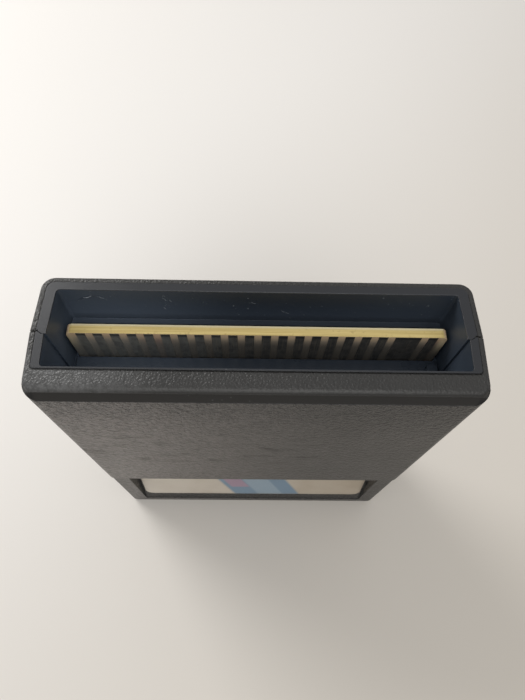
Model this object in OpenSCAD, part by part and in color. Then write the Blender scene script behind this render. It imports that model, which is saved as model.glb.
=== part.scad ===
// Game cartridge, standing on its label end with the contact end up.
// X runs across the case, Y from the label side to the plain side, Z from the label end to the mouth.

/* [Case] */
// Width of the case at its seam
body_w = 64; // [58:0.1:76]
// Length of the case from the label end to the mouth rim
body_l = 78; // [74:0.5:96]
// Thickness of the front half, from the seam to the label side
front_t = 9.5; // [8.9:0.1:13]
// Thickness of the rear half, from the seam to the plain side
rear_t = 9.1; // [8.9:0.1:12]
// Draft of the narrow sides, in degrees
side_draft = 2.3; // [0.5:0.1:3]
// Radius of the upright edges of the front half
front_edge_r = 1.8; // [1:0.1:2.6]
// Radius of the upright edges of the rear half
rear_edge_r = 2; // [1:0.1:2.6]
// Wall of the closed part of the case
wall_t = 2; // [1.4:0.1:2.2]
// Wall of the label end
end_wall_t = 2; // [1.4:0.1:3]
// Rounding of the label end
end_r = 1; // [0.4:0.1:1.4]

/* [Mouth] */
// Width of the mouth at the seam
mouth_w = 59.6; // [59.2:0.1:60.6]
// Reach of the mouth in front of the seam
mouth_front = 5.3; // [4.3:0.1:6.3]
// Reach of the mouth behind the seam
mouth_rear = 6.8; // [6.3:0.1:7]
// How much further in the mouth's side walls stand in the rear half
rear_inset = 0.3; // [0.1:0.05:0.3]
// Depth of the floor that the board comes up through
floor_depth = 13; // [12:0.1:13.5]
// Thickness of that floor
floor_t = 1.6; // [1:0.1:2]
// Depth of the ledge on the rear wall
ledge_depth = 8.4; // [7:0.1:11]
// Width of that ledge
ledge_w = 0.9; // [0.4:0.1:1.4]
// Side clearance of the front floor's tongue behind the seam
floor_side = 0.6; // [0.4:0.1:1]
// Rounding of the rim on its sides and back
rim_r = 0.5; // [0.3:0.05:0.8]
// Width of the grained flat between that rounding and the crease
rim_flat = 0.35; // [0.1:0.05:0.4]
// Rounding between the front band and the facet below it
lip_r = 1.1; // [0.8:0.1:1.8]
// Slope of that facet, which ends at the label side, in degrees
facet_slope = 60; // [45:1:64]
// Reach of that facet in from the label side
facet_w = 0.78; // [0.4:0.02:0.9]
// Slope of the grained band along the front of the rim, in degrees
band_slope = 5; // [1:0.5:8]
// Width of the smooth land along the front of the mouth
front_land = 0.45; // [0.3:0.05:0.8]
// Step between the smooth land and the grained outside
land_step = 0.2; // [0.05:0.01:0.25]
// Width and depth of the crease at the foot of that step
crease = 0.15; // [0.05:0.01:0.2]

/* [Seam] */
// Open line between the halves on the outside
seam_gap = 0.2; // [0.05:0.01:0.3]
// Reach of the rear half's tongue into the front half
tongue_l = 0.4; // [0.3:0.05:0.8]
// Thickness of the tongue at its root
tongue_t = 0.9; // [0.6:0.05:1.1]
// Thickness of the tongue at its tip
tongue_tip = 0.25; // [0.15:0.05:0.4]
// Play between the tongue's sloping flank and the front half
tongue_play = 0.1; // [0.04:0.01:0.12]

/* [Label end] */
// Length of the stepped-back label end on the front
zone_l = 27.4; // [24:0.1:30]
// Depth of that step
zone_step = 0.25; // [0.1:0.05:0.4]
// Depth of the groove along the step
groove_d = 0.5; // [0.3:0.05:0.8]
// Width of the groove
groove_w = 0.5; // [0.3:0.05:0.8]
// Width of the sloping label recess
recess_w = 54.6; // [50:0.1:56]
// Height of the sloping label recess
recess_h = 23.4; // [20:0.1:24]
// Depth of the recess at its upper end
recess_deep = 4.6; // [3:0.1:5.2]
// Depth of the recess at its lower end
recess_shallow = 0.45; // [0.3:0.05:0.8]
// Width of the label
label_w = 53.4; // [46:0.1:54]
// Height of the label along the slope
label_h = 18.8; // [14:0.1:19.5]
// Thickness of the label
label_t = 0.15; // [0.1:0.01:0.3]
// Corner radius of the label
label_r = 2; // [0.5:0.1:4]
// Distance of the label from the upper end of the recess
label_drop = 1.2; // [0.5:0.1:1.5]
// Thickness of the glue under the label
glue_t = 0.02; // [0.01:0.01:0.05]

/* [Circuit board] */
// Number of contact positions on each face
contact_count = 22; // [20:1:22]
// Distance between contact positions
contact_pitch = 2.54; // [2.4:0.01:2.54]
// Width of one contact
contact_w = 1.4; // [1:0.05:1.8]
// Length of the contacts
contact_l = 9.2; // [8.4:0.1:9.6]
// Thickness of the plated copper
copper_t = 0.05; // [0.03:0.01:0.1]
// First of the two positions that one wide contact covers
wide_contact = 20; // [2:1:20]
// Bare edge beside the outer contacts
contact_margin = 1.55; // [1:0.05:1.8]
// Thickness of the board
board_t = 1.6; // [1.2:0.1:2]
// Length of the board
board_l = 57; // [56:0.5:60]
// Depth of the board's contact edge below the rim
board_drop = 5; // [4:0.1:6.5]
// Distance from the seam to the middle plane of the board
board_y = 3.15; // [2.7:0.05:3.3]
// Radius of the board's corners
board_r = 1; // [0.3:0.1:2]

/* [Chips] */
// Number of leads on each chip
lead_count = 40; // [24:2:40]
// Distance between leads
lead_pitch = 2.54; // [2.4:0.01:2.54]
// Distance between the two rows of leads
row_gap = 15.24; // [14.9:0.01:15.3]
// Width of a chip body
chip_w = 13.6; // [12.8:0.1:14]
// Thickness of a chip body
chip_t = 3.8; // [3:0.1:4]
// Gap between the chip body and the board
chip_stand = 0.6; // [0.4:0.1:1]
// Distance between the middles of the two chips
chip_gap = 18.4; // [18:0.1:18.8]
// Thickness of the lead strip
lead_t = 0.3; // [0.2:0.01:0.35]
// Width of a lead's shoulder
shoulder_w = 1.3; // [0.9:0.1:1.5]
// Width of a lead's pin
pin_w = 0.5; // [0.4:0.01:0.6]
// Reach of the pins behind the board
pin_reach = 1.3; // [0.6:0.1:1.8]

/* [Capacitors] */
// Diameter of a capacitor body
cap_d = 2.6; // [2:0.1:3]
// Length of a capacitor body
cap_l = 6.4; // [5:0.1:7]
// Distance between a capacitor's holes
cap_span = 10.16; // [9.6:0.01:10.6]
// Distance from the middle of the board to each capacitor
cap_x = 11.4; // [10.8:0.1:12]
// Diameter of the capacitor wire
wire_d = 0.5; // [0.4:0.05:0.6]

/* [Fixings] */
// Height of the screw and the locating pins above the board's lower end
fixing_up = 4; // [3.6:0.1:4.4]
// Distance from the middle to each locating pin
pin_x = 23; // [21.6:0.1:24]
// Diameter of the locating pins
pin_d = 2.8; // [2:0.1:3]
// Reach of the locating pins in front of the board
pin_l = 2.4; // [1.6:0.1:3]
// Outside diameter of the posts that hold the board
post_d = 5.6; // [5:0.1:6]
// Diameter of the screw's shank
screw_d = 2.4; // [2:0.1:2.6]
// Diameter of the screw's head
screw_head_d = 5; // [4.4:0.1:5.4]
// Height of the screw's head
screw_head_t = 1.7; // [1.2:0.1:2]
// Depth of the screw head's seat below the rear face
screw_seat = 2.6; // [2.2:0.1:3]
// Length of the screw's shank
screw_l = 8.4; // [7:0.1:8.8]
// Thickness of the rails along the board's edges
rail_t = 1.2; // [0.8:0.1:1.4]
// Diameter of the small round boss on the front floor
boss_d = 1.8; // [1:0.1:2.4]
// Height of that boss
boss_h = 0.8; // [0.3:0.1:1.2]
// Distance of the boss in front of the board
boss_front = 2; // [1.6:0.1:3]

/* [Clearances] */
// Play between a floor or rail and the board
board_play = 0.12; // [0.05:0.01:0.2]
// Play between a pin or screw and its hole
hole_play = 0.15; // [0.1:0.01:0.25]
// Play between the screw and the post that it bites into
thread_play = 0.05; // [0.03:0.01:0.1]
// Space past the end of a pin or screw
end_play = 0.6; // [0.3:0.1:1]

/* [Hidden] */

// Places across the thickness
body_t = front_t + rear_t;
front_y = -body_t / 2;
rear_y = body_t / 2;
seam_y = front_y + front_t;
mouth_y0 = seam_y - mouth_front;
mouth_y1 = seam_y + mouth_rear;
board_mid = seam_y + board_y;
board_y0 = board_mid - board_t / 2;
board_y1 = board_mid + board_t / 2;
inner_y0 = front_y + wall_t;
inner_y1 = rear_y - wall_t;
slot_y0 = board_y0 - board_play - copper_t;
slot_y1 = board_y1 + board_play + copper_t;

// Places along the length
board_top = body_l - board_drop;
board_bottom = board_top - board_l;
floor_z = body_l - floor_depth;
floor_under = floor_z - floor_t;
ledge_z = body_l - ledge_depth;
recess_top = zone_l - groove_w - 0.3;
recess_bottom = recess_top - recess_h;
recess_slope = (recess_deep - recess_shallow) / recess_h;
recess_angle = atan(recess_slope);
fixing_z = board_bottom + fixing_up;
fixing_recess = fixing_z > recess_top ? 0 : recess_shallow + (fixing_z - recess_bottom) * recess_slope;
post_y0 = front_y + fixing_recess + wall_t / 2;

// Place of the screw head's seat and of the round boss
seat_y = rear_y - screw_seat;
boss_x = mouth_w / 2 - floor_side - boss_d / 2;

// Sizes that follow from the contacts
board_w = (contact_count - 1) * contact_pitch + contact_w + 2 * contact_margin;
wide_w = contact_w + contact_pitch;

// Chip places
chip_l = lead_count / 2 * lead_pitch + 1.2;
chip_y1 = board_y0 - chip_stand;
chip_y0 = chip_y1 - chip_t;
upper_chip_z = floor_under - row_gap / 2 - 1.6;
lower_chip_z = upper_chip_z - chip_gap;
lead_y = chip_y1 - chip_t / 2;
lead_hole = pin_w + 2 * hole_play;
cap_y = board_y0 - cap_d / 2 - 0.3;

// Fineness of computed curves
corner_steps = 7;
rim_rings = 10;
end_rings = 4;
screw_bore_d = screw_head_d + 2 * hole_play;
mouth_r = 0.5;
tiny = 0.01;

// One of the four corners of a case section: the tangent arc, point by point.
// side is -1 or 1 for left or right, face is -1 or 1 for front or rear.
function corner(side, face, half_w, y_face, r) =
    let (
        draft_rise = abs(y_face - seam_y) - r,
        cx = half_w - (r + draft_rise * sin(side_draft)) / cos(side_draft),
        cy = y_face - face * r,
        start = side_draft
    )
    [for (i = [0:corner_steps])
        let (a = start + (90 - start) * i / corner_steps)
        [side * (cx + r * cos(a)), cy + face * r * sin(a)]];

function reversed(points) = [for (i = [len(points) - 1:-1:0]) points[i]];

// A section of the case, as one closed outline that starts on the left at the seam
function section(half_w, y0, y1, front_r, rear_r) = concat(
    [[-half_w, seam_y]],
    corner(-1, -1, half_w, y0, front_r),
    reversed(corner(1, -1, half_w, y0, front_r)),
    [[half_w, seam_y]],
    corner(1, 1, half_w, y1, rear_r),
    reversed(corner(-1, 1, half_w, y1, rear_r)));

// How far each point of a section belongs to the front (1) or to the sides and the back (0)
front_share = concat(
    [0],
    [for (i = [0:corner_steps]) i / corner_steps],
    [for (i = [corner_steps:-1:0]) i / corner_steps],
    [0],
    [for (i = [0:2 * corner_steps + 1]) 0]);

// A ring lifts the section to its height, which may differ between the front and the rest
function ring(side_in, front_in, side_z, front_z, front_r, rear_r) =
    let (
        flat = section(body_w / 2 - side_in, front_y + front_in, rear_y - side_in, front_r, rear_r)
    )
    [for (i = [0:len(flat) - 1])
        [flat[i][0], flat[i][1], side_z + (front_z - side_z) * front_share[i]]];

// Rounding of the label end: a quarter circle in both directions
function end_ring(k) =
    let (
        a = 90 * k / end_rings,
        inset = end_r * (1 - sin(a)),
        z = end_r * (1 - cos(a))
    )
    ring(inset, inset + zone_step, z, z, max(0.3, front_edge_r - inset), max(0.3, rear_edge_r - inset));

// The front of the rim: first the facet, then the rounding, then the sloping band up to the land
facet_share = 1 / rim_rings;
lip_share = 0.6;
lip_w = facet_w + lip_r * (sin(facet_slope) - sin(band_slope));
band_w = mouth_y0 - front_y - front_land;
band_rise = (band_w - lip_w) * tan(band_slope);
band_top = body_l - land_step;
facet_top = band_top - band_rise - lip_r * (cos(band_slope) - cos(facet_slope));

// Slope of the rounding, from the facet's to the band's
function lip_turn(t) = facet_slope + (band_slope - facet_slope) * (t - facet_share) / (lip_share - facet_share);

function front_rim_in(t) =
    t < facet_share ? 0 :
    t < lip_share ? facet_w + lip_r * (sin(facet_slope) - sin(lip_turn(t))) :
    lip_w + (band_w - rim_flat - lip_w) * (t - lip_share) / (1 - lip_share);

function front_rim_z(t) =
    t < facet_share ? facet_top - facet_w * tan(facet_slope) :
    t < lip_share ? facet_top + lip_r * (cos(lip_turn(t)) - cos(facet_slope)) :
    band_top - (band_w - front_rim_in(t)) * tan(band_slope);

function rim_ring(k) =
    let (
        t = k / rim_rings,
        side_in = rim_r * (1 - cos(90 * t)),
        side_z = band_top - rim_r * (1 - sin(90 * t))
    )
    ring(side_in, front_rim_in(t), side_z, front_rim_z(t),
         max(0.5, front_edge_r * (1 - 0.75 * t)), max(0.5, rear_edge_r - side_in));

// Grained width and corner radius of the rim on its sides and back, up to the crease
rim_w = rim_r + rim_flat;
rim_corner_r = max(0.5, rear_edge_r - rim_w);

// The whole outside, ring by ring from the label end to the mouth
case_rings = concat(
    [for (k = [0:end_rings]) end_ring(k)],
    [ring(0, zone_step, zone_l - groove_w - 0.1, zone_l - groove_w - 0.1, front_edge_r, rear_edge_r),
     ring(0, groove_d, zone_l - groove_w, zone_l - groove_w, front_edge_r, rear_edge_r),
     ring(0, groove_d, zone_l - 0.15, zone_l - 0.15, front_edge_r, rear_edge_r),
     ring(0, 0, zone_l, zone_l, front_edge_r, rear_edge_r)],
    [for (k = [0:rim_rings]) rim_ring(k)],
    [ring(rim_w, band_w, band_top, band_top, 0.5, rim_corner_r),
     ring(rim_w + crease, band_w + crease, band_top - crease, band_top - crease, 0.5, rim_corner_r),
     ring(rim_w + crease + tiny, band_w + crease + tiny, body_l, body_l, 0.5, rim_corner_r)]);

// A closed skin over equal rings, with a flat cap at each end
module skin(rings) {
    n = len(rings[0]);
    m = len(rings);
    points = [for (r = rings) for (p = r) p];
    sides = [for (j = [0:m - 2]) for (i = [0:n - 1])
        let (a = j * n + i, b = j * n + (i + 1) % n)
        each [[a, b + n, b], [a, a + n, b + n]]];
    bottom = [[for (i = [0:n - 1]) i]];
    top = [[for (i = [n - 1:-1:0]) (m - 1) * n + i]];
    polyhedron(points = points, faces = concat(bottom, sides, top), convexity = 4);
}

// Box between two corners
module block(low, high) {
    translate(low) cube(high - low);
}

// Round bar along Y between two depths
module bar_y(x, z, d, y0, y1) {
    translate([x, y0, z]) rotate([-90, 0, 0]) cylinder(d = d, h = y1 - y0, $fn = 48);
}

// Plate with round corners, standing in the XZ plane from y0 to y1
module plate(w, z0, z1, y0, y1, r) {
    translate([0, y1, 0]) rotate([90, 0, 0]) linear_extrude(y1 - y0) union() {
        translate([-w / 2 + r, z0]) square([w - 2 * r, z1 - z0]);
        translate([-w / 2, z0 + r]) square([w, z1 - z0 - 2 * r]);
        for (x = [-w / 2 + r, w / 2 - r], z = [z0 + r, z1 - r])
            translate([x, z]) circle(r = r, $fn = 32);
    }
}

// Outside of the closed case
module case_outside() {
    skin(case_rings);
}

// Mouth that the console's connector enters, with its side walls a distance further in
module mouth_space(inset) {
    half_w = mouth_w / 2 - inset;
    translate([0, 0, ledge_z]) linear_extrude(ledge_depth + 1)
        polygon(section(half_w, mouth_y0, mouth_y1, mouth_r, mouth_r));
    translate([0, 0, floor_z]) linear_extrude(floor_depth - ledge_depth + tiny)
        polygon(section(half_w, mouth_y0, mouth_y1 - ledge_w, mouth_r, mouth_r));
}

// Wedge that the label recess takes out of the front, thicker by a wall where the inside clears it
module recess_wedge(backing, side) {
    translate([-recess_w / 2 - side, 0, 0]) rotate([90, 0, 90]) linear_extrude(recess_w + 2 * side)
        polygon([
            [front_y - 1, recess_bottom - side],
            [front_y + recess_shallow + backing, recess_bottom - side],
            [front_y + recess_deep + backing, recess_top + side],
            [front_y - 1, recess_top + side]]);
}

// Hollow that the board and its chips fill
module inside_space() {
    difference() {
        translate([0, 0, end_wall_t]) linear_extrude(floor_under - end_wall_t)
            polygon(section(mouth_w / 2, inner_y0, inner_y1, mouth_r, mouth_r));
        recess_wedge(wall_t, wall_t);
    }
}

// Slot that lets the board and its contacts through the floor
module board_slot() {
    block([-board_w / 2 - board_play, slot_y0, floor_under - 1],
          [board_w / 2 + board_play, slot_y1, floor_z + 1]);
}

// Front half's floor where it reaches past the seam to the board, grown by its play
module floor_tongue(play) {
    block([-mouth_w / 2 + floor_side - play, seam_y - 2, floor_under - play],
          [mouth_w / 2 - floor_side + play, slot_y0, floor_z + play]);
}

// Both halves before the seam divides them, with the mouth's side walls a distance further in
module closed_case(inset) {
    difference() {
        case_outside();
        mouth_space(inset);
        inside_space();
        board_slot();
        recess_wedge(0, 0);
    }
}

// Space of the tongue, with flanks that slope in towards its tip, grown by its play
module tongue_space(play) {
    root = mouth_w / 2 + tongue_t + play;
    tip = mouth_w / 2 + tongue_tip + play;
    y0 = seam_y - tongue_l;
    y1 = seam_y + seam_gap + tiny;
    translate([0, 0, end_wall_t - tongue_t - play]) linear_extrude(body_l)
        polygon([[-tip, y0], [tip, y0], [root, seam_y], [root, y1], [-root, y1], [-root, seam_y]]);
}

// Rails that hold the board's long edges
module rails(y0, y1) {
    for (side = [-1, 1])
        translate([side * (board_w / 2 - rail_t / 2 - 0.2) - rail_t / 2, y0, board_bottom + 2])
            cube([rail_t, y1 - y0, floor_under - board_bottom - 2 + tiny]);
}

module front_shell() {
    color([0.11, 0.11, 0.12]) {
        difference() {
            union() {
                difference() {
                    closed_case(0);
                    block([-body_w, seam_y, -1], [body_w, rear_y + 1, body_l + 1]);
                    tongue_space(tongue_play);
                }
                floor_tongue(0);
                // Posts that press the board onto the rear half
                for (x = [-pin_x, 0, pin_x])
                    bar_y(x, fixing_z, post_d, post_y0, board_y0 - board_play);
                rails(inner_y0 - tiny, board_y0 - board_play);
                // Round boss on the front floor, beside the board
                translate([boss_x, board_y0 - boss_front, floor_z - tiny])
                    cylinder(d = boss_d, h = boss_h + tiny, $fn = 32);
            }
            for (x = [-pin_x, pin_x])
                bar_y(x, fixing_z, pin_d + 2 * hole_play, board_y0 - pin_l - end_play, board_y0 + 1);
            bar_y(0, fixing_z, screw_d + 2 * thread_play, seat_y - screw_l - end_play, board_y0 + 1);
        }
    }
}

module rear_shell() {
    color([0.10, 0.10, 0.11]) {
        difference() {
            union() {
                difference() {
                    closed_case(rear_inset);
                    block([-body_w, front_y - 1, -1], [body_w, seam_y + seam_gap, body_l + 1]);
                    floor_tongue(board_play);
                }
                difference() {
                    intersection() {
                        closed_case(rear_inset);
                        tongue_space(0);
                    }
                    floor_tongue(board_play);
                }
                rails(board_y1 + board_play, inner_y1 + tiny);
                for (x = [-pin_x, pin_x]) {
                    bar_y(x, fixing_z, post_d, board_y1 + board_play, inner_y1 + tiny);
                    bar_y(x, fixing_z, pin_d, board_y0 - pin_l, board_y1 + 1);
                }
                bar_y(0, fixing_z, screw_bore_d + 2.8, board_y1 + board_play, inner_y1 + tiny);
            }
            bar_y(0, fixing_z, screw_bore_d, seat_y, rear_y + 1);
            bar_y(0, fixing_z, screw_d + 2 * hole_play, board_y1 - 1, rear_y);
        }
    }
}

module label() {
    color([0.82, 0.80, 0.76])
        translate([0, front_y + recess_deep, recess_top]) rotate([-recess_angle, 0, 0])
            plate(label_w, -label_drop - label_h, -label_drop, -label_t - glue_t, -glue_t, label_r);
}

module circuit_board() {
    color([0.72, 0.62, 0.40])
        difference() {
            plate(board_w, board_bottom, board_top, board_y0, board_y1, board_r);
            for (x = [-pin_x, pin_x])
                bar_y(x, fixing_z, pin_d + 2 * hole_play, board_y0 - 1, board_y1 + 1);
            bar_y(0, fixing_z, screw_d + 1.4, board_y0 - 1, board_y1 + 1);
            for (z = [upper_chip_z, lower_chip_z], i = [0:lead_count / 2 - 1], row = [-1, 1])
                lead_hole_at(lead_x(i), z + row * row_gap / 2);
            for (side = [-1, 1], end = [-1, 1])
                lead_hole_at(side * cap_x + end * cap_span / 2, fixing_z);
        }
}

function lead_x(i) = (i - (lead_count / 2 - 1) / 2) * lead_pitch;

module lead_hole_at(x, z) {
    block([x - lead_hole / 2, board_y0 - 1, z - lead_hole / 2],
          [x + lead_hole / 2, board_y1 + 1, z + lead_hole / 2]);
}

function contact_x(i) = (i - (contact_count + 1) / 2) * contact_pitch;

// One face's contacts, where a wide one may cover two positions
module contacts(y0, wide) {
    for (i = [1:contact_count])
        if (i != wide + 1) {
            w = i == wide ? wide_w : contact_w;
            shift = i == wide ? contact_pitch / 2 : 0;
            block([contact_x(i) + shift - w / 2, y0, board_top - 0.1 - contact_l],
                  [contact_x(i) + shift + w / 2, y0 + copper_t, board_top - 0.1]);
        }
}

module front_contacts() {
    color([0.24, 0.22, 0.21]) contacts(board_y0 - copper_t, wide_contact);
}

module rear_contacts() {
    color([0.30, 0.27, 0.24]) contacts(board_y1, -1);
}

// Moulded chip body with tapered flanks, a parting line at the leads and a notch at one end
module chip(z) {
    taper = 0.5;
    color([0.13, 0.13, 0.14])
        difference() {
            translate([-chip_l / 2, 0, z]) rotate([90, 0, 90]) linear_extrude(chip_l)
                polygon([
                    [chip_y1, -chip_w / 2 + taper], [lead_y, -chip_w / 2], [chip_y0, -chip_w / 2 + taper],
                    [chip_y0, chip_w / 2 - taper], [lead_y, chip_w / 2], [chip_y1, chip_w / 2 - taper]]);
            bar_y(-chip_l / 2, z, 3, chip_y0 - 1, chip_y0 + 0.8);
        }
}

// One bent lead: shoulder out of the body, leg down to the board, pin through it
module lead(x, z, side) {
    out = row_gap / 2 - chip_w / 2;
    z_leg = z + side * row_gap / 2;
    union() {
        block([x - shoulder_w / 2, lead_y - lead_t / 2, min(z_leg - side * out, z_leg)],
              [x + shoulder_w / 2, lead_y + lead_t / 2, max(z_leg - side * out, z_leg)]);
        block([x - shoulder_w / 2, lead_y - lead_t / 2, z_leg - lead_t / 2],
              [x + shoulder_w / 2, board_y0 - 0.3, z_leg + lead_t / 2]);
        block([x - pin_w / 2, board_y0 - 0.5, z_leg - lead_t / 2],
              [x + pin_w / 2, board_y1 + pin_reach, z_leg + lead_t / 2]);
    }
}

module chip_leads(z) {
    color([0.70, 0.70, 0.70])
        for (i = [0:lead_count / 2 - 1], side = [-1, 1])
            lead(lead_x(i), z, side);
}

module upper_chip() { chip(upper_chip_z); }

module upper_chip_leads() { chip_leads(upper_chip_z); }

module lower_chip() { chip(lower_chip_z); }

module lower_chip_leads() { chip_leads(lower_chip_z); }

// Small round-ended capacitor lying on the board
module capacitors() {
    color([0.66, 0.48, 0.22])
        for (side = [-1, 1])
            translate([side * cap_x - cap_l / 2, cap_y, fixing_z]) rotate([0, 90, 0])
                rotate_extrude($fn = 32)
                    polygon([
                        [0, 0], [cap_d * 0.3, 0], [cap_d * 0.45, 0.3], [cap_d / 2, 0.8],
                        [cap_d / 2, cap_l - 0.8], [cap_d * 0.45, cap_l - 0.3], [cap_d * 0.3, cap_l], [0, cap_l]]);
}

// Two wires a capacitor: out of its end, then through the board
module capacitor_wires() {
    color([0.75, 0.75, 0.74])
        for (side = [-1, 1], end = [-1, 1]) {
            x0 = side * cap_x + end * cap_l / 2;
            x1 = side * cap_x + end * cap_span / 2;
            union() {
                translate([min(x0, x1), cap_y, fixing_z]) rotate([0, 90, 0])
                    cylinder(d = wire_d, h = abs(x1 - x0), $fn = 16);
                translate([x1, cap_y, fixing_z]) sphere(d = wire_d, $fn = 16);
                bar_y(x1, fixing_z, wire_d, cap_y, board_y1 + pin_reach);
            }
        }
}

module case_screw() {
    color([0.62, 0.61, 0.58])
        difference() {
            union() {
                bar_y(0, fixing_z, screw_head_d, seat_y, seat_y + screw_head_t);
                bar_y(0, fixing_z, screw_d, seat_y - screw_l, seat_y);
            }
            for (turn = [0, 90])
                translate([0, seat_y + screw_head_t, fixing_z]) rotate([0, turn, 0])
                    cube([3, 1.6, 0.6], center = true);
        }
}

front_shell();
rear_shell();
label();
circuit_board();
front_contacts();
rear_contacts();
upper_chip();
upper_chip_leads();
lower_chip();
lower_chip_leads();
capacitors();
capacitor_wires();
case_screw();
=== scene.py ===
"""Black moulded game cartridge, standing on its label end.

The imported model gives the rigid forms. Here their sharp edges are eased, every surface gets its finish,
and the label, the screw and the dust in the mouth are added as computed surfaces. Lengths are in metres.
X runs across the case, Y from the label side to the plain side, Z from the label end to the mouth.
"""
import math
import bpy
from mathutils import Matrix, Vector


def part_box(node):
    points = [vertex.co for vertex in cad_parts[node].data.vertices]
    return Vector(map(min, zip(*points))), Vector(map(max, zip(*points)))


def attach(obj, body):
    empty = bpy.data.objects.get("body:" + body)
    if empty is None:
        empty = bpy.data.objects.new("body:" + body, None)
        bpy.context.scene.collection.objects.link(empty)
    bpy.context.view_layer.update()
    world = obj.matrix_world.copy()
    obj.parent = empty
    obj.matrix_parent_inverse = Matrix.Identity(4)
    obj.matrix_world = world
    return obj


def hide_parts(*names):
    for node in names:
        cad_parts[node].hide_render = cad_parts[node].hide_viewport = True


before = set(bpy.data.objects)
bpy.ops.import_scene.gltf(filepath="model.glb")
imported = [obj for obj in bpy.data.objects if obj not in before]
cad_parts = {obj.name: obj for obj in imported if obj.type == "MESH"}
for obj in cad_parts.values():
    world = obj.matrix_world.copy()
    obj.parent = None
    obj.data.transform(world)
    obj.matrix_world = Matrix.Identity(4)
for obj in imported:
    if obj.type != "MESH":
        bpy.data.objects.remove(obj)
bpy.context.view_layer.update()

from types import SimpleNamespace

import bmesh
import bpy
import numpy as np
from mathutils import Matrix, Vector

MM = 0.001

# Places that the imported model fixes
RIM_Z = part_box("front_shell")[1].z
FRONT_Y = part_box("front_shell")[0].y
SEAM_Y = FRONT_Y + 9.5 * MM
MOUTH_HALF = 29.8 * MM
MOUTH_FRONT_Y = SEAM_Y - 5.3 * MM
MOUTH_REAR_Y = SEAM_Y + 6.8 * MM
FLOOR_Z = RIM_Z - 13 * MM
BOARD_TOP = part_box("circuit_board")[1].z
BOARD_REAR_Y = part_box("circuit_board")[1].y

# Borders between the case's finishes: the smooth land on the rim, the grained band and the facet under it
LAND_FOOT_Z = RIM_Z - 0.15 * MM
BAND_FOOT_Z = RIM_Z - 1.15 * MM
FACET_TOP_Y = FRONT_Y + 0.8 * MM
FACET_FOOT_Z = RIM_Z - 2.3 * MM

# Sizes of what is added here
CASE_EASE = 0.05 * MM
BOARD_EASE = 0.1 * MM
PAPER_T = 0.15 * MM
PAPER_CORNER_R = 2.0 * MM
WALL_GAP = 0.001 * MM

# A copied surface's points closer than MERGE_GAP become one, and its edges that turn more than EASED_TURN
# are rounded. A new piece's edges that turn more than SHARP_TURN are shaded sharp.
MERGE_GAP = 0.012 * MM
EASED_TURN = math.radians(35)
SHARP_TURN = math.radians(40)


class Wire:
    """A socket among a material's nodes. Arithmetic on wires and numbers adds the Math nodes for it."""

    def __init__(self, tree, socket):
        self.tree = tree
        self.socket = socket

    def node(self, kind, settings=(), inputs=(), output=0):
        """Adds a node, makes its settings, then links or sets its inputs, and returns one of its outputs."""
        made = self.tree.nodes.new(kind)
        for name, value in dict(settings).items():
            setattr(made, name, value)
        for name, value in dict(inputs).items():
            if isinstance(value, Wire):
                self.tree.links.new(value.socket, made.inputs[name])
            else:
                made.inputs[name].default_value = value
        return Wire(self.tree, made.outputs[output])

    def math(self, operation, *values):
        """The result of a Math node's operation on some values."""
        return self.node("ShaderNodeMath", {"operation": operation}, dict(enumerate(values)))

    def __add__(self, other):
        return self.math("ADD", self, other)

    def __radd__(self, other):
        return self.math("ADD", other, self)

    def __sub__(self, other):
        return self.math("SUBTRACT", self, other)

    def __rsub__(self, other):
        return self.math("SUBTRACT", other, self)

    def __mul__(self, other):
        return self.math("MULTIPLY", self, other)

    def __rmul__(self, other):
        return self.math("MULTIPLY", other, self)

    def __truediv__(self, other):
        return self.math("DIVIDE", self, other)

    def __abs__(self):
        return self.math("ABSOLUTE", self)

    def __pow__(self, other):
        return self.math("POWER", self, other)

    def most(self, other):
        """The larger of this number and another."""
        return self.math("MAXIMUM", self, other)

    def rise(self, low, high):
        """0 below low, 1 above high, and a smooth step between them; low may be the larger one."""
        return self.node("ShaderNodeMapRange", {"interpolation_type": "SMOOTHSTEP"},
                         {"Value": self, "From Min": low, "From Max": high})

    def above(self, level, blur):
        """1 above a level and 0 below it, with a smooth step that reaches blur to either side."""
        return self.rise(level - blur, level + blur)

    def below(self, level, blur):
        """1 below a level and 0 above it, with a smooth step that reaches blur to either side."""
        return self.rise(level + blur, level - blur)

    def parts(self):
        """The three numbers of a vector."""
        return [self.node("ShaderNodeSeparateXYZ", (), {0: self}, k) for k in range(3)]

    def stretched(self, scale):
        """A vector, multiplied part by part."""
        return self.node("ShaderNodeVectorMath", {"operation": "MULTIPLY"}, {0: self, 1: scale})

    def jittered(self, scale, reach):
        """A place, pushed about by noise of a scale in cells a metre, by about reach metres."""
        noise = self.node("ShaderNodeTexNoise", (), {"Vector": self, "Scale": scale, "Detail": 2.0}, "Color")
        push = self.node("ShaderNodeVectorMath", {"operation": "MULTIPLY_ADD"},
                         {0: noise, 1: (2 * reach,) * 3, 2: (-reach,) * 3})
        return self.node("ShaderNodeVectorMath", {"operation": "ADD"}, {0: self, 1: push})

    def noise(self, scale, detail=3.0):
        """Smooth noise around 0.5, in cells a metre."""
        return self.node("ShaderNodeTexNoise", (),
                         {"Vector": self, "Scale": scale, "Detail": detail, "Roughness": 0.55})

    def cells(self, scale, feature="SMOOTH_F1"):
        """Distance from the middles of random cells, in cells a metre."""
        return self.node("ShaderNodeTexVoronoi", {"feature": feature}, {"Vector": self, "Scale": scale},
                         "Distance")

    def tint(self, first, second):
        """A colour between two colours, with this number as the share of the second."""
        return self.node("ShaderNodeMix", {"data_type": "RGBA"}, {0: self, 6: first, 7: second}, 2)


def rgb(red, green, blue):
    """An opaque colour, in linear light."""
    return (red, green, blue, 1.0)


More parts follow.
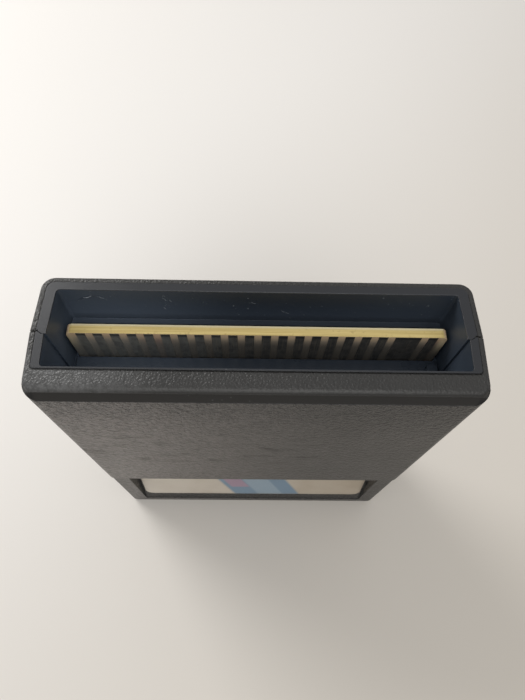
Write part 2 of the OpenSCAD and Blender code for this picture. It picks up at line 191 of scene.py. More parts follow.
def new_material(name, roughness=0.5, metallic=0.0):
    """A new material. Returns it, its Principled shader and the wire of its Object coordinates."""
    material = bpy.data.materials.new(name)
    material.use_nodes = True
    shader = material.node_tree.nodes["Principled BSDF"]
    shader.inputs["Roughness"].default_value = roughness
    shader.inputs["Metallic"].default_value = metallic
    start = Wire(material.node_tree, None)
    return material, shader, start.node("ShaderNodeTexCoord", (), (), "Object")


def feed(shader, **wires):
    """Links wires to the shader's inputs, where base_color stands for Base Color."""
    for name, wire in wires.items():
        label = name.replace("_", " ").title()
        wire.tree.links.new(wire.socket, shader.inputs[label])


def bump(height, reach):
    """Normals from a height between 0 and 1 that stands for reach metres."""
    return height.node("ShaderNodeBump", (), {"Height": height, "Distance": reach, "Strength": 1.0})


def case_regions(x, y, z):
    """The case's regions that differ in finish, each as a share from 0 to 1.

    The mouth has its walls and its land on the rim. The grained outside is the band and the flank, and the
    flank is the front and what lies elsewhere. The facet is smooth and parts the band from the front."""
    mouth = (abs(x).below(MOUTH_HALF + 0.2 * MM, 0.05 * MM)
             * y.above(MOUTH_FRONT_Y - 0.1 * MM, 0.05 * MM)
             * y.below(MOUTH_REAR_Y + 0.1 * MM, 0.05 * MM)
             * z.above(FLOOR_Z - 1.5 * MM, 0.5 * MM))
    land = z.above(LAND_FOOT_Z, 0.02 * MM)
    facet = y.below(FACET_TOP_Y, 0.04 * MM) * z.above(FACET_FOOT_Z + 0.01 * MM, 0.03 * MM)
    front = y.below(FRONT_Y + 0.3 * MM, 0.2 * MM) * z.below(FACET_FOOT_Z, 0.1 * MM)
    smooth = mouth.most(land).most(facet)
    grained = 1.0 - smooth
    band = z.above(BAND_FOOT_Z, 0.15 * MM) * grained
    flank = grained * (1.0 - band)
    return SimpleNamespace(mouth=mouth, walls=mouth * (1.0 - land), land=land, facet=facet, front=front,
                           smooth=smooth, grained=grained, band=band, flank=flank, elsewhere=flank - front)


def leather_grain(place, at, y, z):
    """The moulded grain: pebbles, the lumps and creases among them, and a fine tooth.

    Its height is their weighted sum. It is deepest on the flat sides, fades down the front, and ends on the
    band before the facet."""
    wander = place.jittered(1500.0, 0.10 * MM)
    pebbles = 1.0 - wander.cells(3300.0)
    lumps = place.noise(900.0)
    tooth = place.noise(9000.0, 2.0)
    creases = wander.cells(1250.0, "F1").rise(0.75, 0.35)
    leather = pebbles * 0.75 + lumps * (0.20 + at.flank * 0.6) + creases * at.flank * 0.40 + tooth * 0.12
    on_band = at.band * y.rise(FACET_TOP_Y, FACET_TOP_Y + 1.2 * MM) * 0.9
    down_front = at.front * (z.rise(RIM_Z - 22 * MM, RIM_Z - 6 * MM) * 1.6 - 0.5)
    tops = pebbles.rise(0.45, 0.75) * 0.3 + lumps.rise(0.40, 0.62) * 0.3 + creases * 0.4
    return SimpleNamespace(height=leather * (on_band + at.flank * 1.6 + down_front), lumps=lumps, tops=tops)


def mouth_dust(x, z, to_right):
    """The mouth's colour with its dust: bluish grey, paler at the left and the floor, and a little at the
    right.
    """
    to_middle = to_right.rise(0.0, 0.7)
    near_rim = to_middle.tint(rgb(0.060, 0.078, 0.106), rgb(0.019, 0.026, 0.037))
    near_floor = to_middle.tint(rgb(0.110, 0.141, 0.192), rgb(0.045, 0.060, 0.085))
    dust = z.rise(RIM_Z - 1 * MM, RIM_Z - 9 * MM).tint(near_rim, near_floor)
    return (x.rise(6 * MM, 28 * MM) * 0.25).tint(dust, rgb(0.072, 0.094, 0.128))


def case_plastic():
    """Black plastic: leather grain outside, polished mouth and rim, with wear, rubs, scuffs and dust, and
    painted light, sheen, shadow and highlight on the front, the band and the mouth's edges.
    """
    material, shader, place = new_material("case_plastic")
    x, y, z = place.parts()
    at = case_regions(x, y, z)
    grain = leather_grain(place, at, y, z)
    to_right = (x / MOUTH_HALF).rise(-1.05, 0.6)
    blotches = place.noise(90.0, 4.0)
    polish = place.stretched((1.0, 1.0, 0.35)).noise(260.0, 4.0)

    specks = place.cells(900.0, "F1").rise(0.13, 0.08) * place.noise(60.0).rise(0.52, 0.62) * at.smooth
    scuffs = place.stretched((0.25, 1.0, 1.6)).noise(420.0, 5.0).rise(0.60, 0.72) * at.grained
    half_way_up = z.rise(64 * MM, 57 * MM) * z.rise(34 * MM, 46 * MM)
    rubbed = half_way_up * y.below(FRONT_Y + 0.4 * MM, 0.2 * MM) * x.rise(16 * MM, 6 * MM)
    rubs = place.stretched((0.35, 1.0, 1.0)).noise(330.0, 5.0).rise(0.50, 0.78) * rubbed

    # The plastic itself, which is blackest on the polished rim
    mottle = polish * 0.3 + grain.lumps * 0.2 + blotches * 0.5
    base = mottle.tint(rgb(0.015, 0.0155, 0.016), rgb(0.031, 0.030, 0.029))
    base = (at.land * 0.9).tint(base, rgb(0.014, 0.016, 0.021))
    base = (at.facet * 0.8).tint(base, rgb(0.009, 0.009, 0.010))

    # The front: worn paler on the grain's tops, under a pale film that grows lower down as a painted sheen;
    # the pale colour is paler at the left as painted light, and the lower right corner is darker as a
    # painted shadow
    wear_and_left_light = to_right.tint(rgb(0.185, 0.168, 0.160), rgb(0.052, 0.050, 0.048))
    lower_painted_sheen = z.rise(RIM_Z - 2 * MM, RIM_Z - 12 * MM) * 0.30 + 0.08
    base = (at.front * (lower_painted_sheen + grain.tops * (0.25 + blotches))).tint(base, wear_and_left_light)
    right_cheek_painted_shadow = at.front * x.rise(24 * MM, 28 * MM) * z.rise(32 * MM, 22 * MM)
    base = (right_cheek_painted_shadow * 0.8).tint(base, rgb(0.010, 0.009, 0.009))

    # The other sides and the band: paler tops of the grain, scuffs, and painted light, a paler tint, at the
    # band's left
    base = (at.elsewhere * grain.tops * (0.15 + blotches)).tint(base, rgb(0.058, 0.057, 0.055))
    base = (at.elsewhere * scuffs * 0.45).tint(base, rgb(0.070, 0.068, 0.065))
    band_left_painted_light = to_right.rise(0.35, 0.0) * y.rise(MOUTH_FRONT_Y + 3 * MM, MOUTH_FRONT_Y)
    base = (at.band * (0.3 + grain.tops * 0.7) * band_left_painted_light * 0.7).tint(base, rgb(0.125, 0.127, 0.130))

    # The mouth: dust on the walls, and a painted highlight, a paler line just under its front and rear edge
    base = at.walls.tint(base, mouth_dust(x, z, to_right))
    edge_painted_highlight = at.mouth * z.rise(RIM_Z - 0.30 * MM, RIM_Z - 0.12 * MM) * (1.0 - at.land * 0.6)
    edge_painted_highlight = edge_painted_highlight * abs(x).rise(MOUTH_HALF - 0.3 * MM, MOUTH_HALF - 1.0 * MM)
    base = (edge_painted_highlight * 0.45).tint(base, rgb(0.105, 0.120, 0.140))

    # Dark rubs half-way up the front, and specks of dust on what is smooth
    base = (rubs * 0.7).tint(base, rgb(0.012, 0.011, 0.010))
    base = (specks * 0.5).tint(base, rgb(0.13, 0.135, 0.14))

    near_floor = z.below(FLOOR_Z + 1 * MM, 0.5 * MM) * at.mouth
    roughness = 0.31 + polish * 0.08 + blotches * 0.12 - at.smooth * 0.10 + at.walls * 0.14
    roughness = roughness - near_floor * 0.16 + scuffs * 0.1 + rubs * 0.2 + specks * 0.3
    feed(shader, base_color=base, roughness=roughness, normal=bump(grain.height, 0.18 * MM))
    return material


def board_laminate():
    """Tan laminate: faces with fine fibre, painted shade below the edge and painted light along the top,
    cream ends, and yellow layers where it was sawn.
    """
    material, shader, place = new_material("board_laminate", 0.6)
    x, y, z = place.parts()
    layers = place.stretched((0.08, 4.0, 1.0)).noise(900.0, 4.0)
    fibre = place.stretched((0.3, 1.0, 1.0)).noise(2500.0, 3.0)
    blotches = place.noise(180.0, 3.0)
    face = blotches.rise(0.35, 0.7).tint(rgb(0.50, 0.41, 0.30), rgb(0.57, 0.45, 0.33))

    # Two ruddy stains, at the left and at the right end
    left_stain = abs(x + 15.5 * MM).rise(3.6 * MM, 0.8 * MM)
    right_stain = abs(x - 27.0 * MM).rise(1.6 * MM, 0.4 * MM)
    ruddy = (left_stain + right_stain) * 0.45 * place.noise(420.0).rise(0.3, 0.55)
    face = ruddy.tint(face, rgb(0.56, 0.24, 0.17))

    # Painted shade that thickens below the edge, only in the mouth, and is darker to the right; then paler
    # ends that fade downward, and painted light along the top
    depth_painted_shade = (x / (30 * MM)).rise(-1.0, -0.1).tint(rgb(0.36, 0.35, 0.31), rgb(0.10, 0.095, 0.085))
    below_edge_shade = z.rise(BOARD_TOP, BOARD_TOP - 4 * MM) * z.rise(FLOOR_Z - 1 * MM, FLOOR_Z)
    face = (below_edge_shade * 0.85).tint(face, depth_painted_shade)
    end = abs(x).rise(27.4 * MM, 28.4 * MM) * z.rise(BOARD_TOP - 6.5 * MM, BOARD_TOP - 0.5 * MM)
    face = (end * 0.9).tint(face, rgb(0.80, 0.66, 0.42))
    top_painted_light = z.rise(BOARD_TOP - 2.2 * MM, BOARD_TOP - 0.4 * MM)
    face = (top_painted_light * 0.6).tint(face, rgb(0.80, 0.57, 0.34))

    # The sawn edge, with dark flecks and a pale line along its rear
    edge = layers.rise(0.3, 0.7).tint(rgb(0.58, 0.44, 0.16), rgb(0.74, 0.59, 0.25))
    edge = (place.noise(1300.0, 2.0).rise(0.60, 0.74) * 0.35).tint(edge, rgb(0.34, 0.22, 0.08))
    edge = ((y - BOARD_REAR_Y).rise(-0.55 * MM, -0.1 * MM) * 0.75).tint(edge, rgb(0.84, 0.79, 0.58))
    sawn = z.above(BOARD_TOP - 0.08 * MM, 0.04 * MM)
    base = sawn.tint(face, edge)
    relief = fibre * 0.4 + layers * sawn * 0.8
    feed(shader, base_color=base, roughness=0.5 + layers * 0.25, normal=bump(relief, 0.03 * MM))
    return material


def contact_metal():
    """Plated copper gone dark, paler at the left, with a dark top line and lines that a socket has wiped."""
    material, shader, place = new_material("contact_metal", 0.35, 0.45)
    x, _, z = place.parts()
    tarnish = place.noise(700.0, 4.0)
    patchy = tarnish.rise(0.35, 0.65)
    wiped = place.stretched((1.0, 1.0, 0.04)).noise(5200.0, 2.0).rise(0.5, 0.68)
    paler_left_tone = patchy.tint(rgb(0.45, 0.44, 0.385), rgb(0.31, 0.30, 0.275))
    dark = patchy.tint(rgb(0.15, 0.14, 0.125), rgb(0.09, 0.087, 0.082))
    base = (x / MOUTH_HALF).rise(-1.05, 0.3).tint(paler_left_tone, dark)
    base = (wiped * 0.3).tint(base, rgb(0.34, 0.29, 0.20))
    base = (z.rise(BOARD_TOP - 1.1 * MM, BOARD_TOP - 0.5 * MM) * 0.7).tint(base, rgb(0.035, 0.033, 0.030))
    roughness = 0.28 + tarnish * 0.3 - wiped * 0.05
    feed(shader, base_color=base, roughness=roughness, normal=bump(wiped, 0.004 * MM))
    return material


def label_paper():
    """Coated off-white paper, printed with plain leaning fields of blue and pink, with dirty edges and
    painted shade to the right.
    """
    material, shader, place = new_material("label_paper", 0.45)
    x, _, z = place.parts()
    low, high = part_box("label")
    across = x / ((high.x - low.x) / 2)
    up = (z - low.z) / (high.z - low.z)
    fibres = place.noise(2600.0, 4.0)
    stain = place.noise(140.0, 4.0)
    # The paper darkens towards the right: painted shade, with random stains mixed in
    right_shade_and_stains = across.rise(-0.9, 1.1) * 0.75 + stain.rise(0.35, 0.75) * 0.25
    paper = right_shade_and_stains.tint(rgb(0.60, 0.55, 0.48), rgb(0.40, 0.335, 0.255))

    lean = across + (up - 0.5) * 0.30
    blue = lean.rise(-0.34, -0.30) * lean.rise(0.30, 0.26)
    pale = lean.rise(-0.12, -0.09) * lean.rise(0.14, 0.11)
    pink = lean.rise(-0.29, -0.26) * lean.rise(-0.10, -0.13) * up.rise(0.22, 0.26) * up.rise(0.62, 0.56)
    base = (blue * 0.85).tint(paper, rgb(0.12, 0.23, 0.35))
    base = (pale * 0.5).tint(base, rgb(0.36, 0.44, 0.50))
    base = (pink * 0.6).tint(base, rgb(0.46, 0.24, 0.30))

    edge = abs(across).rise(0.965, 1.0).most(up.rise(0.05, 0.0)).most(up.rise(0.95, 1.0))
    base = (edge * 0.35 * stain.rise(0.3, 0.6)).tint(base, rgb(0.25, 0.21, 0.17))
    feed(shader, base_color=base, roughness=0.38 + fibres * 0.25, normal=bump(fibres, 0.01 * MM))
    return material


def chip_resin():
    """Moulded black resin with a fine sparkle."""
    material, shader, place = new_material("chip_resin", 0.55)
    fine = place.noise(6000.0, 3.0)
    base = fine.rise(0.35, 0.75).tint(rgb(0.016, 0.016, 0.017), rgb(0.035, 0.035, 0.036))
    feed(shader, base_color=base, roughness=0.45 + fine * 0.25, normal=bump(fine, 0.012 * MM))
    return material


def lead_metal():
    """Tinned metal with dull patches."""
    material, shader, place = new_material("lead_metal", 0.3, 1.0)
    dull = place.noise(1400.0, 4.0)
    base = dull.rise(0.3, 0.7).tint(rgb(0.66, 0.66, 0.64), rgb(0.46, 0.46, 0.45))
    feed(shader, base_color=base, roughness=0.22 + dull * 0.3, normal=bump(dull, 0.008 * MM))
    return material


def capacitor_ceramic():
    """Dipped glossy coating, uneven like syrup."""
    material, shader, place = new_material("capacitor_ceramic", 0.25)
    uneven = place.noise(500.0, 3.0)
    base = uneven.rise(0.3, 0.7).tint(rgb(0.50, 0.26, 0.07), rgb(0.36, 0.17, 0.045))
    feed(shader, base_color=base, roughness=0.18 + uneven * 0.2, normal=bump(uneven, 0.05 * MM))
    return material


def screw_steel():
    """Zinc-plated steel, turned and a little dull."""
    material, shader, place = new_material("screw_steel", 0.35, 1.0)
    turned = place.stretched((1.0, 6.0, 1.0)).noise(2500.0, 3.0)
    dull = place.noise(900.0, 4.0)
    base = dull.rise(0.35, 0.7).tint(rgb(0.56, 0.54, 0.48), rgb(0.33, 0.31, 0.27))
    feed(shader, base_color=base, roughness=0.25 + dull * 0.3, normal=bump(turned, 0.01 * MM))
    return material


def dust_lint():
    """Pale grey lint."""
    material, shader, place = new_material("dust_lint", 0.9)
    soft = place.noise(9000.0, 2.0)
    base = soft.rise(0.3, 0.7).tint(rgb(0.19, 0.21, 0.24), rgb(0.34, 0.37, 0.40))
    feed(shader, base_color=base)
    return material


MATERIALS = {make.__name__: make() for make in (
    case_plastic, board_laminate, contact_metal, label_paper, chip_resin, lead_metal, capacitor_ceramic,
    screw_steel, dust_lint)}


def dress(piece, slot, material=None):
    """Gives a piece the material of its slot, or another material when one is given."""
    piece.data.materials.clear()
    piece.data.materials.append(MATERIALS[material or slot])


def grid_faces(rows, columns, closed_columns=True):
    """Quads between neighbours in a grid numbered row by row, where a closed row meets its own start."""
    across = columns if closed_columns else columns - 1
    i, j = np.meshgrid(np.arange(rows - 1), np.arange(across), indexing="ij")
    right = (j + 1) % columns
    quads = [i * columns + j, i * columns + right, (i + 1) * columns + right, (i + 1) * columns + j]
    return np.stack(quads, -1).reshape(-1, 4)


def new_piece(name, points, faces, slot, material=None):
    """A mesh piece of the object, smooth-shaded apart from its sharp edges."""
    mesh = bpy.data.meshes.new(name)
    mesh.from_pydata(points.tolist(), [], faces)
    mesh.polygons.foreach_set("use_smooth", np.ones(len(mesh.polygons), bool))
    mesh.set_sharp_from_angle(angle=SHARP_TURN)
    piece = bpy.data.objects.new(name, mesh)
    bpy.context.scene.collection.objects.link(piece)
    dress(piece, slot, material)
    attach(piece, "root")
    return piece


def eased_copy(node, name, radius, slot):
    """The node's own surface, with doubles merged and its sharp edges rounded to the radius."""
    shape = bmesh.new()
    shape.from_mesh(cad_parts[node].data)
    bmesh.ops.remove_doubles(shape, verts=shape.verts, dist=MERGE_GAP)
    mesh = bpy.data.meshes.new(name)
    shape.to_mesh(mesh)
    shape.free()
    if "custom_normal" in mesh.attributes:
        mesh.attributes.remove(mesh.attributes["custom_normal"])
    mesh.polygons.foreach_set("use_smooth", np.ones(len(mesh.polygons), bool))
    mesh.set_sharp_from_angle(angle=EASED_TURN)
    piece = bpy.data.objects.new(name, mesh)
    bpy.context.scene.collection.objects.link(piece)
    ease = piece.modifiers.new("eased_edges", "BEVEL")
    ease.width = radius
    ease.segments = 2
    ease.limit_method = "ANGLE"
    ease.angle_limit = EASED_TURN
    ease.miter_outer = "MITER_ARC"
    ease.loop_slide = False
    ease.use_clamp_overlap = False
    ease.harden_normals = True
    level = piece.modifiers.new("level_normals", "WEIGHTED_NORMAL")
    level.mode = "FACE_AREA"
    level.weight = 80
    level.keep_sharp = True
    dress(piece, slot)
    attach(piece, "root")
    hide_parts(node)


def label_sheet():
    """The label: a rectangle with round corners, laid on the slope of its recess.

    Row v runs up the slope from -1 to 1 and column u across it from -1 to 1. The half width of a row is that
    of a rectangle whose corners are arcs. The paper stands off the slope by a small ripple, the mean of
    three sines, and lifts a little more towards its edges. A front and a back grid share their outline."""
    low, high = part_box("label")
    rows, columns = 121, 201
    ripple_h, edge_lift = 0.018 * MM, 0.03 * MM
    waves = ((520, 210, 0.0), (230, -640, 1.3), (90, 150, 0.4))
    rise_y = high.y - low.y - PAPER_T
    rise_z = high.z - low.z
    tilt = math.atan2(rise_y, rise_z)
    half_w = (high.x - low.x) / 2
    half_h = math.hypot(rise_z, rise_y) / 2
    even = np.linspace(-1, 1, rows)
    v = np.sin(even * math.pi / 2)[:, None] * 0.35 + even[:, None] * 0.65
    u = np.linspace(-1, 1, columns)[None, :]
    into_corner = np.clip(np.abs(v) * half_h - (half_h - PAPER_CORNER_R), 0, PAPER_CORNER_R)
    reach = half_w - PAPER_CORNER_R + np.sqrt(PAPER_CORNER_R ** 2 - into_corner ** 2)
    along = np.broadcast_to(v * half_h, (rows, columns))
    across = u * reach
    ripple = sum(np.sin(across * a + along * b + start) for a, b, start in waves) / len(waves)
    near_edge = np.maximum(np.abs(u) ** 14, np.abs(v) ** 14)
    lift = ripple_h * (1 + ripple) + edge_lift * near_edge
    middle = np.array([0.0, (low.y + high.y - PAPER_T) / 2, (low.z + high.z) / 2])
    sideways = np.array([1.0, 0.0, 0.0])
    slope = np.array([0.0, math.sin(tilt), math.cos(tilt)])
    outward = np.array([0.0, -math.cos(tilt), math.sin(tilt)])

    def sheet(off):
        points = across[..., None] * sideways + along[..., None] * slope + off[..., None] * outward
        return (points + middle).reshape(-1, 3)

    front = sheet(lift + PAPER_T / 2)
    back = sheet(lift - PAPER_T / 2)
    flat = grid_faces(rows, columns, closed_columns=False)
    count = rows * columns
    grid = np.arange(count).reshape(rows, columns)
    outline = np.concatenate([grid[0, :-1], grid[:-1, -1], grid[-1, :0:-1], grid[:0:-1, 0]])
    following = np.roll(outline, -1)
    rim = np.stack([outline, outline + count, following + count, following], -1)
    faces = np.concatenate([flat, flat[:, ::-1] + count, rim])
    piece = new_piece("label_sheet", np.concatenate([front, back]), faces.tolist(), "label_paper")
    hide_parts("label")


def case_screw():
    """The screw that holds the halves: a surface of revolution about Y, with its thread and cross recess.

    The profile runs from the tip up the shank, under the head and over its dome. The thread adds a triangle
    wave that advances with the angle to the shank's radius. The recess lowers the dome by a smooth cross:
    its depth is full where either of two perpendicular bars covers the point, and ends at their length."""
    low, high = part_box("case_screw")
    axis_z = (low.z + high.z) / 2
    head_r = (high.z - low.z) / 2
    head_t = 1.7 * MM
    seat = high.y - head_t
    shank_r = 1.2 * MM
    core_r = shank_r - 0.32 * MM
    pitch, thread_h = 1.05 * MM, 0.30 * MM
    tip_l, shank_l = 0.36 * MM, seat - low.y - 0.5 * MM
    tip_rows, shank_rows, dome_rows, columns = 10, 180, 46, 96
    angle = np.linspace(0, 2 * math.pi, columns, endpoint=False)[None, :]

    tip = np.linspace(0, 1, tip_rows)
    shank = np.linspace(0, 1, shank_rows)
    dome = np.linspace(0, 1, dome_rows)
    r = np.concatenate([
        tip * core_r * 0.9,
        np.full(shank_rows, core_r),
        [shank_r * 0.98, shank_r],
        [head_r * 0.9, head_r * 0.99],
        head_r * np.cos(np.radians(8 + 82 * dome))])[:, None]
    y = np.concatenate([
        low.y + tip_l * tip ** 2,
        low.y + tip_l + shank_l * shank,
        [seat - 0.1 * MM, seat],
        [seat, seat + 0.06 * MM],
        seat + head_t * (0.35 + 0.65 * np.sin(np.radians(90 * dome)))])[:, None] + 0 * angle
    starting = np.clip((y - low.y) / (0.8 * MM), 0, 1)
    ending = np.clip((seat - 0.25 * MM - y) / (0.4 * MM), 0, 1)
    wave = np.abs(((y / pitch - angle / (2 * math.pi)) % 1.0) * 2 - 1)
    r = r + starting * ending * thread_h * np.clip(wave * 1.5 - 0.25, 0, 1)
    x = r * np.cos(angle)
    z = r * np.sin(angle)

    bar_l, bar_w, recess = 1.45 * MM, 0.36 * MM, 1.0 * MM
    end_slope, side_slope = 0.35 * MM, 0.14 * MM

    def bar(along, beside):
        return (np.clip((bar_l - np.abs(along)) / end_slope, 0, 1)
                * np.clip((bar_w - np.abs(beside)) / side_slope, 0, 1))

    cross = np.maximum(bar(x, z), bar(z, x))
    on_head = y > seat + 0.3 * head_t
    y = y - np.where(on_head, cross * recess, 0.0)

    points = np.stack([x, y, z + axis_z], -1)
    rows = points.shape[0]
    body = points[1:-1].reshape(-1, 3)
    faces = grid_faces(rows - 2, columns)[:, ::-1].tolist()
    ends = np.stack([points[0, 0], points[-1].mean(0)])
    tip_end, dome_end = len(body), len(body) + 1
    last = (rows - 3) * columns
    ring = np.arange(columns)
    following = (ring + 1) % columns
    faces += np.stack([np.full(columns, tip_end), ring, following], -1).tolist()
    faces += np.stack([np.full(columns, dome_end), last + following, last + ring], -1).tolist()
    piece = new_piece("threaded_screw", np.concatenate([body, ends]), faces, "screw_steel")
    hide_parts("case_screw")


def fibre(start, end, bow, radius, steps=28, sides=8):
    """One closed tube along a bowed line, with a radius that tapers towards each end.

    The line runs from start to end, plus bow times a parabola that is 0 at both ends, plus a turned quarter
    of bow times a sine of three half waves. Returns its points and faces."""
    t = np.linspace(0, 1, steps)[:, None]
    path = (start + (end - start) * t + bow * (4 * t * (1 - t))
            + bow[[1, 2, 0]] * 0.25 * np.sin(3 * math.pi * t))
    ahead = np.gradient(path, axis=0)
    ahead /= np.linalg.norm(ahead, axis=1, keepdims=True)
    side = np.cross(ahead, np.array([0.31, 0.87, 0.38]))
    side /= np.linalg.norm(side, axis=1, keepdims=True)
    up = np.cross(side, ahead)
    turn = np.linspace(0, 2 * math.pi, sides, endpoint=False)[None, :, None]
    thick = (radius * np.sin(math.pi * np.clip(t, 0.02, 0.98)) ** 0.3)[:, None]
    rings = path[:, None] + thick * (np.cos(turn) * side[:, None] + np.sin(turn) * up[:, None])
    faces = grid_faces(steps, sides).tolist()
    faces += [list(range(sides))[::-1], list(range((steps - 1) * sides, steps * sides))]
    return rings.reshape(-1, 3), faces


def mouth_lint():
    """Fibres that cling to the rear wall of the mouth, each placed where the photograph shows it.

    Each row of the list gives, in mm, both ends as X and the height over the rim, the bow and the radius."""
    strands = [
        ((-27.0, -3.2), (-23.7, -2.0), (0.0, 0.0, 0.75), 0.040),
        ((-23.9, -1.9), (-22.6, -2.8), (0.0, 0.0, 0.25), 0.028),
        ((-14.3, -2.1), (-13.9, -2.9), (0.2, 0.0, 0.0), 0.030),
        ((-14.4, -4.6), (-14.1, -5.2), (-0.15, 0.0, 0.0), 0.030),
        ((-1.4, -3.0), (0.0, -3.5), (0.0, 0.0, 0.3), 0.018),
        ((3.6, -5.2), (4.8, -5.9), (0.0, 0.0, -0.2), 0.018),
    ]
    wall = MOUTH_REAR_Y - 0.03 * MM
    points, faces, count = [], [], 0
    for (x0, z0), (x1, z1), bow, radius in strands:
        start = np.array([x0 * MM, wall, RIM_Z + z0 * MM])
        end = np.array([x1 * MM, wall, RIM_Z + z1 * MM])
        tube, quads = fibre(start, end, np.array(bow) * MM, radius * MM)
        tube[:, 1] = np.minimum(tube[:, 1], MOUTH_REAR_Y - WALL_GAP)
        points.append(tube)
        faces += [[k + count for k in quad] for quad in quads]
        count += len(tube)
    new_piece("mouth_lint", np.concatenate(points), faces, "label_paper", "dust_lint")


def mouth_specks():
    """Dust specks on the mouth's rear wall: octahedra squashed against the wall, with uneven radii.

    A cluster is its middle as X and the height over the rim, its spread in both, and a count, with lengths
    in mm. Each speck's place is the middle plus a normal deviate times the spread, kept to the wall, and its
    three radii are a log-normal size times uneven factors."""
    draws = np.random.default_rng(11)
    clusters = [(-13.9, -2.4, 0.5, 1.2, 16), (-18.1, -8.9, 0.3, 0.2, 3), (-9.2, -9.0, 0.4, 0.2, 4),
                (-1.2, -3.2, 0.5, 0.3, 4), (24.0, -4.0, 2.5, 2.0, 8), (0.0, -4.5, 17.0, 2.6, 46)]
    middle = np.concatenate([np.column_stack([draws.normal(x, wide, count), draws.normal(z, tall, count)])
                             for x, z, wide, tall, count in clusters]) * MM
    aside, lowest, highest = 28.6 * MM, -7.9 * MM, -0.4 * MM
    middle[:, 0] = np.clip(middle[:, 0], -aside, aside)
    middle[:, 1] = np.clip(middle[:, 1], lowest, highest)
    size = np.exp(draws.normal(-2.75, 0.35, len(middle)))[:, None] * MM
    radii = size * draws.uniform(0.6, 1.4, (len(middle), 3)) * np.array([1.0, 0.35, 1.0])
    corners = np.array([[1, 0, 0], [0, 1, 0], [-1, 0, 0], [0, -1, 0], [0, 0, 1], [0, 0, -1]], float)
    sides = np.array([[0, 1, 4], [1, 2, 4], [2, 3, 4], [3, 0, 4],
                      [1, 0, 5], [2, 1, 5], [3, 2, 5], [0, 3, 5]])
    off_wall = MOUTH_REAR_Y - radii[:, 1] - WALL_GAP
    place = np.column_stack([middle[:, 0], off_wall, RIM_Z + middle[:, 1]])
    points = place[:, None] + corners[None] * radii[:, None]
    faces = (sides[None] + 6 * np.arange(len(middle))[:, None, None]).reshape(-1, 3)
    new_piece("mouth_specks", points.reshape(-1, 3), faces.tolist(), "label_paper", "dust_lint")


def make_floor():
    """A pale table, far larger than the view. It darkens towards the front and the right as painted shade,
    with a little random tone, and the camera sees its far part lighter, so that it meets the pale room
    softly."""
    reach = 3.0
    corners = [(-reach, -reach, 0), (reach, -reach, 0), (reach, reach, 0), (-reach, reach, 0)]
    mesh = bpy.data.meshes.new("table")
    mesh.from_pydata(corners, [], [(0, 1, 2, 3)])
    floor = bpy.data.objects.new("table", mesh)
    bpy.context.scene.collection.objects.link(floor)
    material, shader, place = new_material("table_top", 0.6)
    x, y, _ = place.parts()
    painted_shade_drift = (x * 0.9 - y * 0.8).rise(-0.13, 0.11) * 0.9 + place.noise(3.0, 2.0) * 0.1
    colour = painted_shade_drift.tint(rgb(0.775, 0.755, 0.735), rgb(0.605, 0.565, 0.512))
    far = ((x * x + y * y) ** 0.5).rise(0.35, 1.3)
    seen = place.node("ShaderNodeLightPath", (), (), "Is Camera Ray")
    haze = (far * seen).tint(rgb(0.0, 0.0, 0.0), rgb(0.35, 0.345, 0.335))
    shader.inputs["Emission Strength"].default_value = 1.0
    feed(shader, base_color=colour, emission_color=haze)
    mesh.materials.append(material)


def make_light(name, place, aim, size, power, colour):
    """A round soft lamp at a place, turned towards its aim."""
    lamp = bpy.data.lights.new(name, "AREA")
    lamp.shape = "DISK"
    lamp.size = size
    lamp.energy = power
    lamp.color = colour
    light = bpy.data.objects.new(name, lamp)
    light.location = place
    light.rotation_mode = "QUATERNION"
    light.rotation_quaternion = (Vector(aim) - Vector(place)).to_track_quat("-Z", "Y")
    bpy.context.scene.collection.objects.link(light)


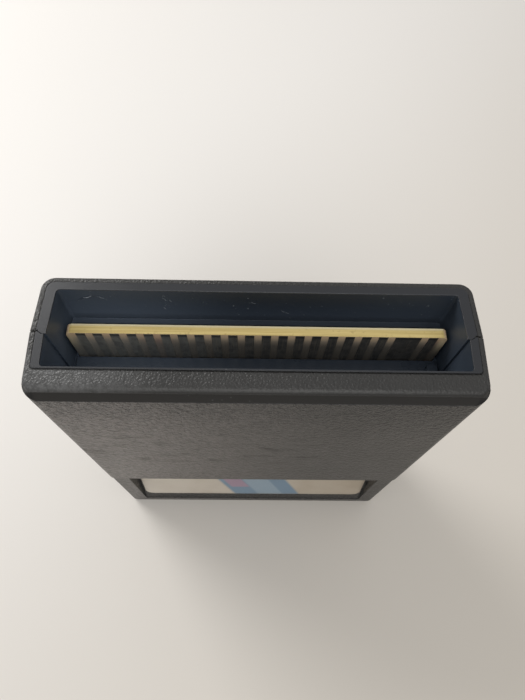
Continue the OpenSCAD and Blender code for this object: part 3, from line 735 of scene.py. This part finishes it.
def make_world():
    """Soft light, strongest from above and a little stronger from the rear. The camera sees a pale room."""
    world = bpy.data.worlds.new("studio")
    world.use_nodes = True
    bpy.context.scene.world = world
    background = world.node_tree.nodes["Background"]
    start = Wire(world.node_tree, None)
    toward = start.node("ShaderNodeTexCoord", (), (), "Generated")
    _, y, z = toward.parts()
    room = 0.12 + z.rise(0.1, 0.55) * 0.52 + y.rise(-0.3, 0.8) * 0.06
    seen = start.node("ShaderNodeLightPath", (), (), "Is Camera Ray")
    strength = room + seen * (0.84 - room)
    world.node_tree.links.new(strength.socket, background.inputs["Strength"])
    background.inputs["Color"].default_value = rgb(1.0, 0.985, 0.955)


def make_camera():
    """The photograph's camera. Its turn is roll after pitch after yaw, and its offset is measured from a
    point in the middle of the rim, a little behind the seam."""
    focal_px, picture_h_px = 537.0, 700.0
    pitch, yaw, roll = math.radians(64.415), math.radians(2.907), math.radians(-3.38)
    offset = Vector((-0.529 * MM, 2.873 * MM, -75.477 * MM))
    stand_up = Matrix(((1, 0, 0), (0, 0, 1), (0, -1, 0)))
    turn = (Matrix.Rotation(roll, 3, "Z") @ Matrix.Rotation(pitch, 3, "X") @ Matrix.Rotation(yaw, 3, "Y")
            @ stand_up)
    camera = bpy.data.cameras.new("camera")
    camera.sensor_width = 36.0
    camera.lens = focal_px / picture_h_px * camera.sensor_width
    camera.clip_start = 0.005
    camera.clip_end = 20.0
    eye = bpy.data.objects.new("camera", camera)
    rim = Vector((0.0, SEAM_Y + 0.7 * MM, RIM_Z))
    eye.matrix_world = Matrix.Translation(rim - turn.transposed() @ offset) @ turn.transposed().to_4x4()
    bpy.context.scene.collection.objects.link(eye)
    bpy.context.scene.camera = eye


make_camera()
make_world()
make_floor()
make_light("window", (-0.36, 0.32, 0.38), (0, 0, 0.04), 0.32, 2.0, (1.0, 0.99, 0.97))
make_light("ceiling", (0.02, -0.40, 0.50), (0, 0, 0.06), 0.40, 1.0, (1.0, 0.985, 0.96))

eased_copy("front_shell", "front_case", CASE_EASE, "case_plastic")
eased_copy("rear_shell", "rear_case", CASE_EASE, "case_plastic")
eased_copy("circuit_board", "sawn_board", BOARD_EASE, "board_laminate")
label_sheet()
case_screw()
mouth_lint()
mouth_specks()
for node, slot in (("front_contacts", "contact_metal"), ("rear_contacts", "contact_metal"),
                   ("upper_chip", "chip_resin"), ("lower_chip", "chip_resin"),
                   ("upper_chip_leads", "lead_metal"), ("lower_chip_leads", "lead_metal"),
                   ("capacitors", "capacitor_ceramic"), ("capacitor_wires", "lead_metal")):
    dress(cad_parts[node], slot)

bpy.context.scene.view_settings.view_transform = "Standard"
